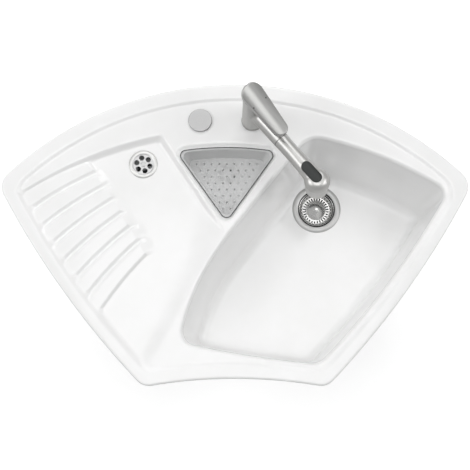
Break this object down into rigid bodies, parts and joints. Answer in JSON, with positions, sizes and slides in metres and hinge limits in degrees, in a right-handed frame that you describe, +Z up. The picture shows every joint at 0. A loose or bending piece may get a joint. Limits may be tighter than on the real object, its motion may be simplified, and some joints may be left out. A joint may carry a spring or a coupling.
{
  "type": "corner kitchen sink",
  "caption": "Corner kitchen sink in white ceramic: main bowl, small bowl with a clear colander, fluted drainer, basket strainer waste and a single lever tap with a pull-out spray.",
  "frame": {"origin": "on the worktop, in the middle of the rim's seat at the front edge", "axes": "+Z up, +X to the right seen from the front, +Y towards the room's corner"},
  "size_m": [1.0562, 0.6883, 0.459],
  "materials": {
    "ceramic": "gloss",
    "tap_metal": "satin",
    "satin_steel": "satin",
    "waste_steel": "polished",
    "fixing_steel": "plain",
    "brass_fixing": "plain",
    "seal_rubber": "matte",
    "waste_plastic": "matte",
    "slide_plastic": "matte",
    "button_plastic": "satin",
    "clear_plastic": "gloss"
  },
  "bodies": {
    "sink": {"sink_body": "ceramic", "cap_seal": "seal_rubber", "tap_hole_cap": "satin_steel", "cap_nut": "brass_fixing", "strainer_cup": "waste_steel", "main_waste_gasket": "seal_rubber", "main_waste_seal": "seal_rubber", "main_waste_nut": "waste_plastic", "tray_waste_flange": "waste_steel", "tray_waste_screw": "waste_steel", "tray_waste_seal": "seal_rubber", "tray_waste_body": "waste_plastic", "small_bowl_waste_flange": "waste_steel", "small_bowl_waste_screw": "waste_steel", "small_bowl_waste_seal": "seal_rubber", "small_bowl_waste_body": "waste_plastic", "tap_base": "tap_metal", "tap_base_seal": "seal_rubber", "swivel_washer": "slide_plastic", "clamp_washer": "seal_rubber", "clamp_plate": "fixing_steel", "shank_nut": "brass_fixing", "hose_guide": "slide_plastic", "hot_inlet": "brass_fixing", "cold_inlet": "brass_fixing"},
    "basket": {"basket_strainer": "waste_steel", "basket_knob": "waste_steel", "basket_plug": "seal_rubber"},
    "colander": {"colander": "clear_plastic"},
    "turret": {"tap_body": "tap_metal", "docking_collar": "slide_plastic", "cartridge": "slide_plastic", "cartridge_nut": "brass_fixing", "dome_ring": "tap_metal"},
    "lever_mix": {"spindle_carrier": "brass_fixing", "spindle_pin": "brass_fixing"},
    "lever": {"lever": "tap_metal", "lever_spindle": "brass_fixing"},
    "spray": {"spray_handle": "tap_metal", "nozzle_plate": "button_plastic"},
    "spray_button": {"spray_button": "button_plastic"}
  },
  "joints": [
    {"name": "basket_lift", "type": "slide", "parent": "sink", "child": "basket", "axis": [0, 0, 1], "range_m": [0, 0.06]},
    {"name": "colander_lift", "type": "slide", "parent": "sink", "child": "colander", "axis": [0, 0, 1], "range_m": [0, 0.06]},
    {"name": "tap_turn", "type": "hinge", "parent": "sink", "child": "turret", "pos_m": [0.04, 0.57, 0.0145], "axis": [0, 0, 1], "range_deg": [-70, 50]},
    {"name": "lever_mix", "type": "hinge", "parent": "turret", "child": "lever_mix", "pos_m": [0.03729, 0.57335, 0.14743], "axis": [0.1233, -0.1523, 0.9806], "range_deg": [-40, 40]},
    {"name": "lever_lift", "type": "hinge", "parent": "lever_mix", "child": "lever", "pos_m": [0.03729, 0.57335, 0.14743], "axis": [-0.7771, -0.6293, 0], "range_deg": [0, 20]},
    {"name": "spray_pull", "type": "slide", "parent": "turret", "child": "spray", "axis": [0.6262, -0.7733, 0.0993], "range_m": [0, 0.15]},
    {"name": "spray_button_press", "type": "slide", "parent": "spray", "child": "spray_button", "axis": [0.0625, -0.0772, -0.9951], "range_m": [0, 0.0015], "stiffness_N_per_m": 800, "springref_m": -0.001}
  ]
}
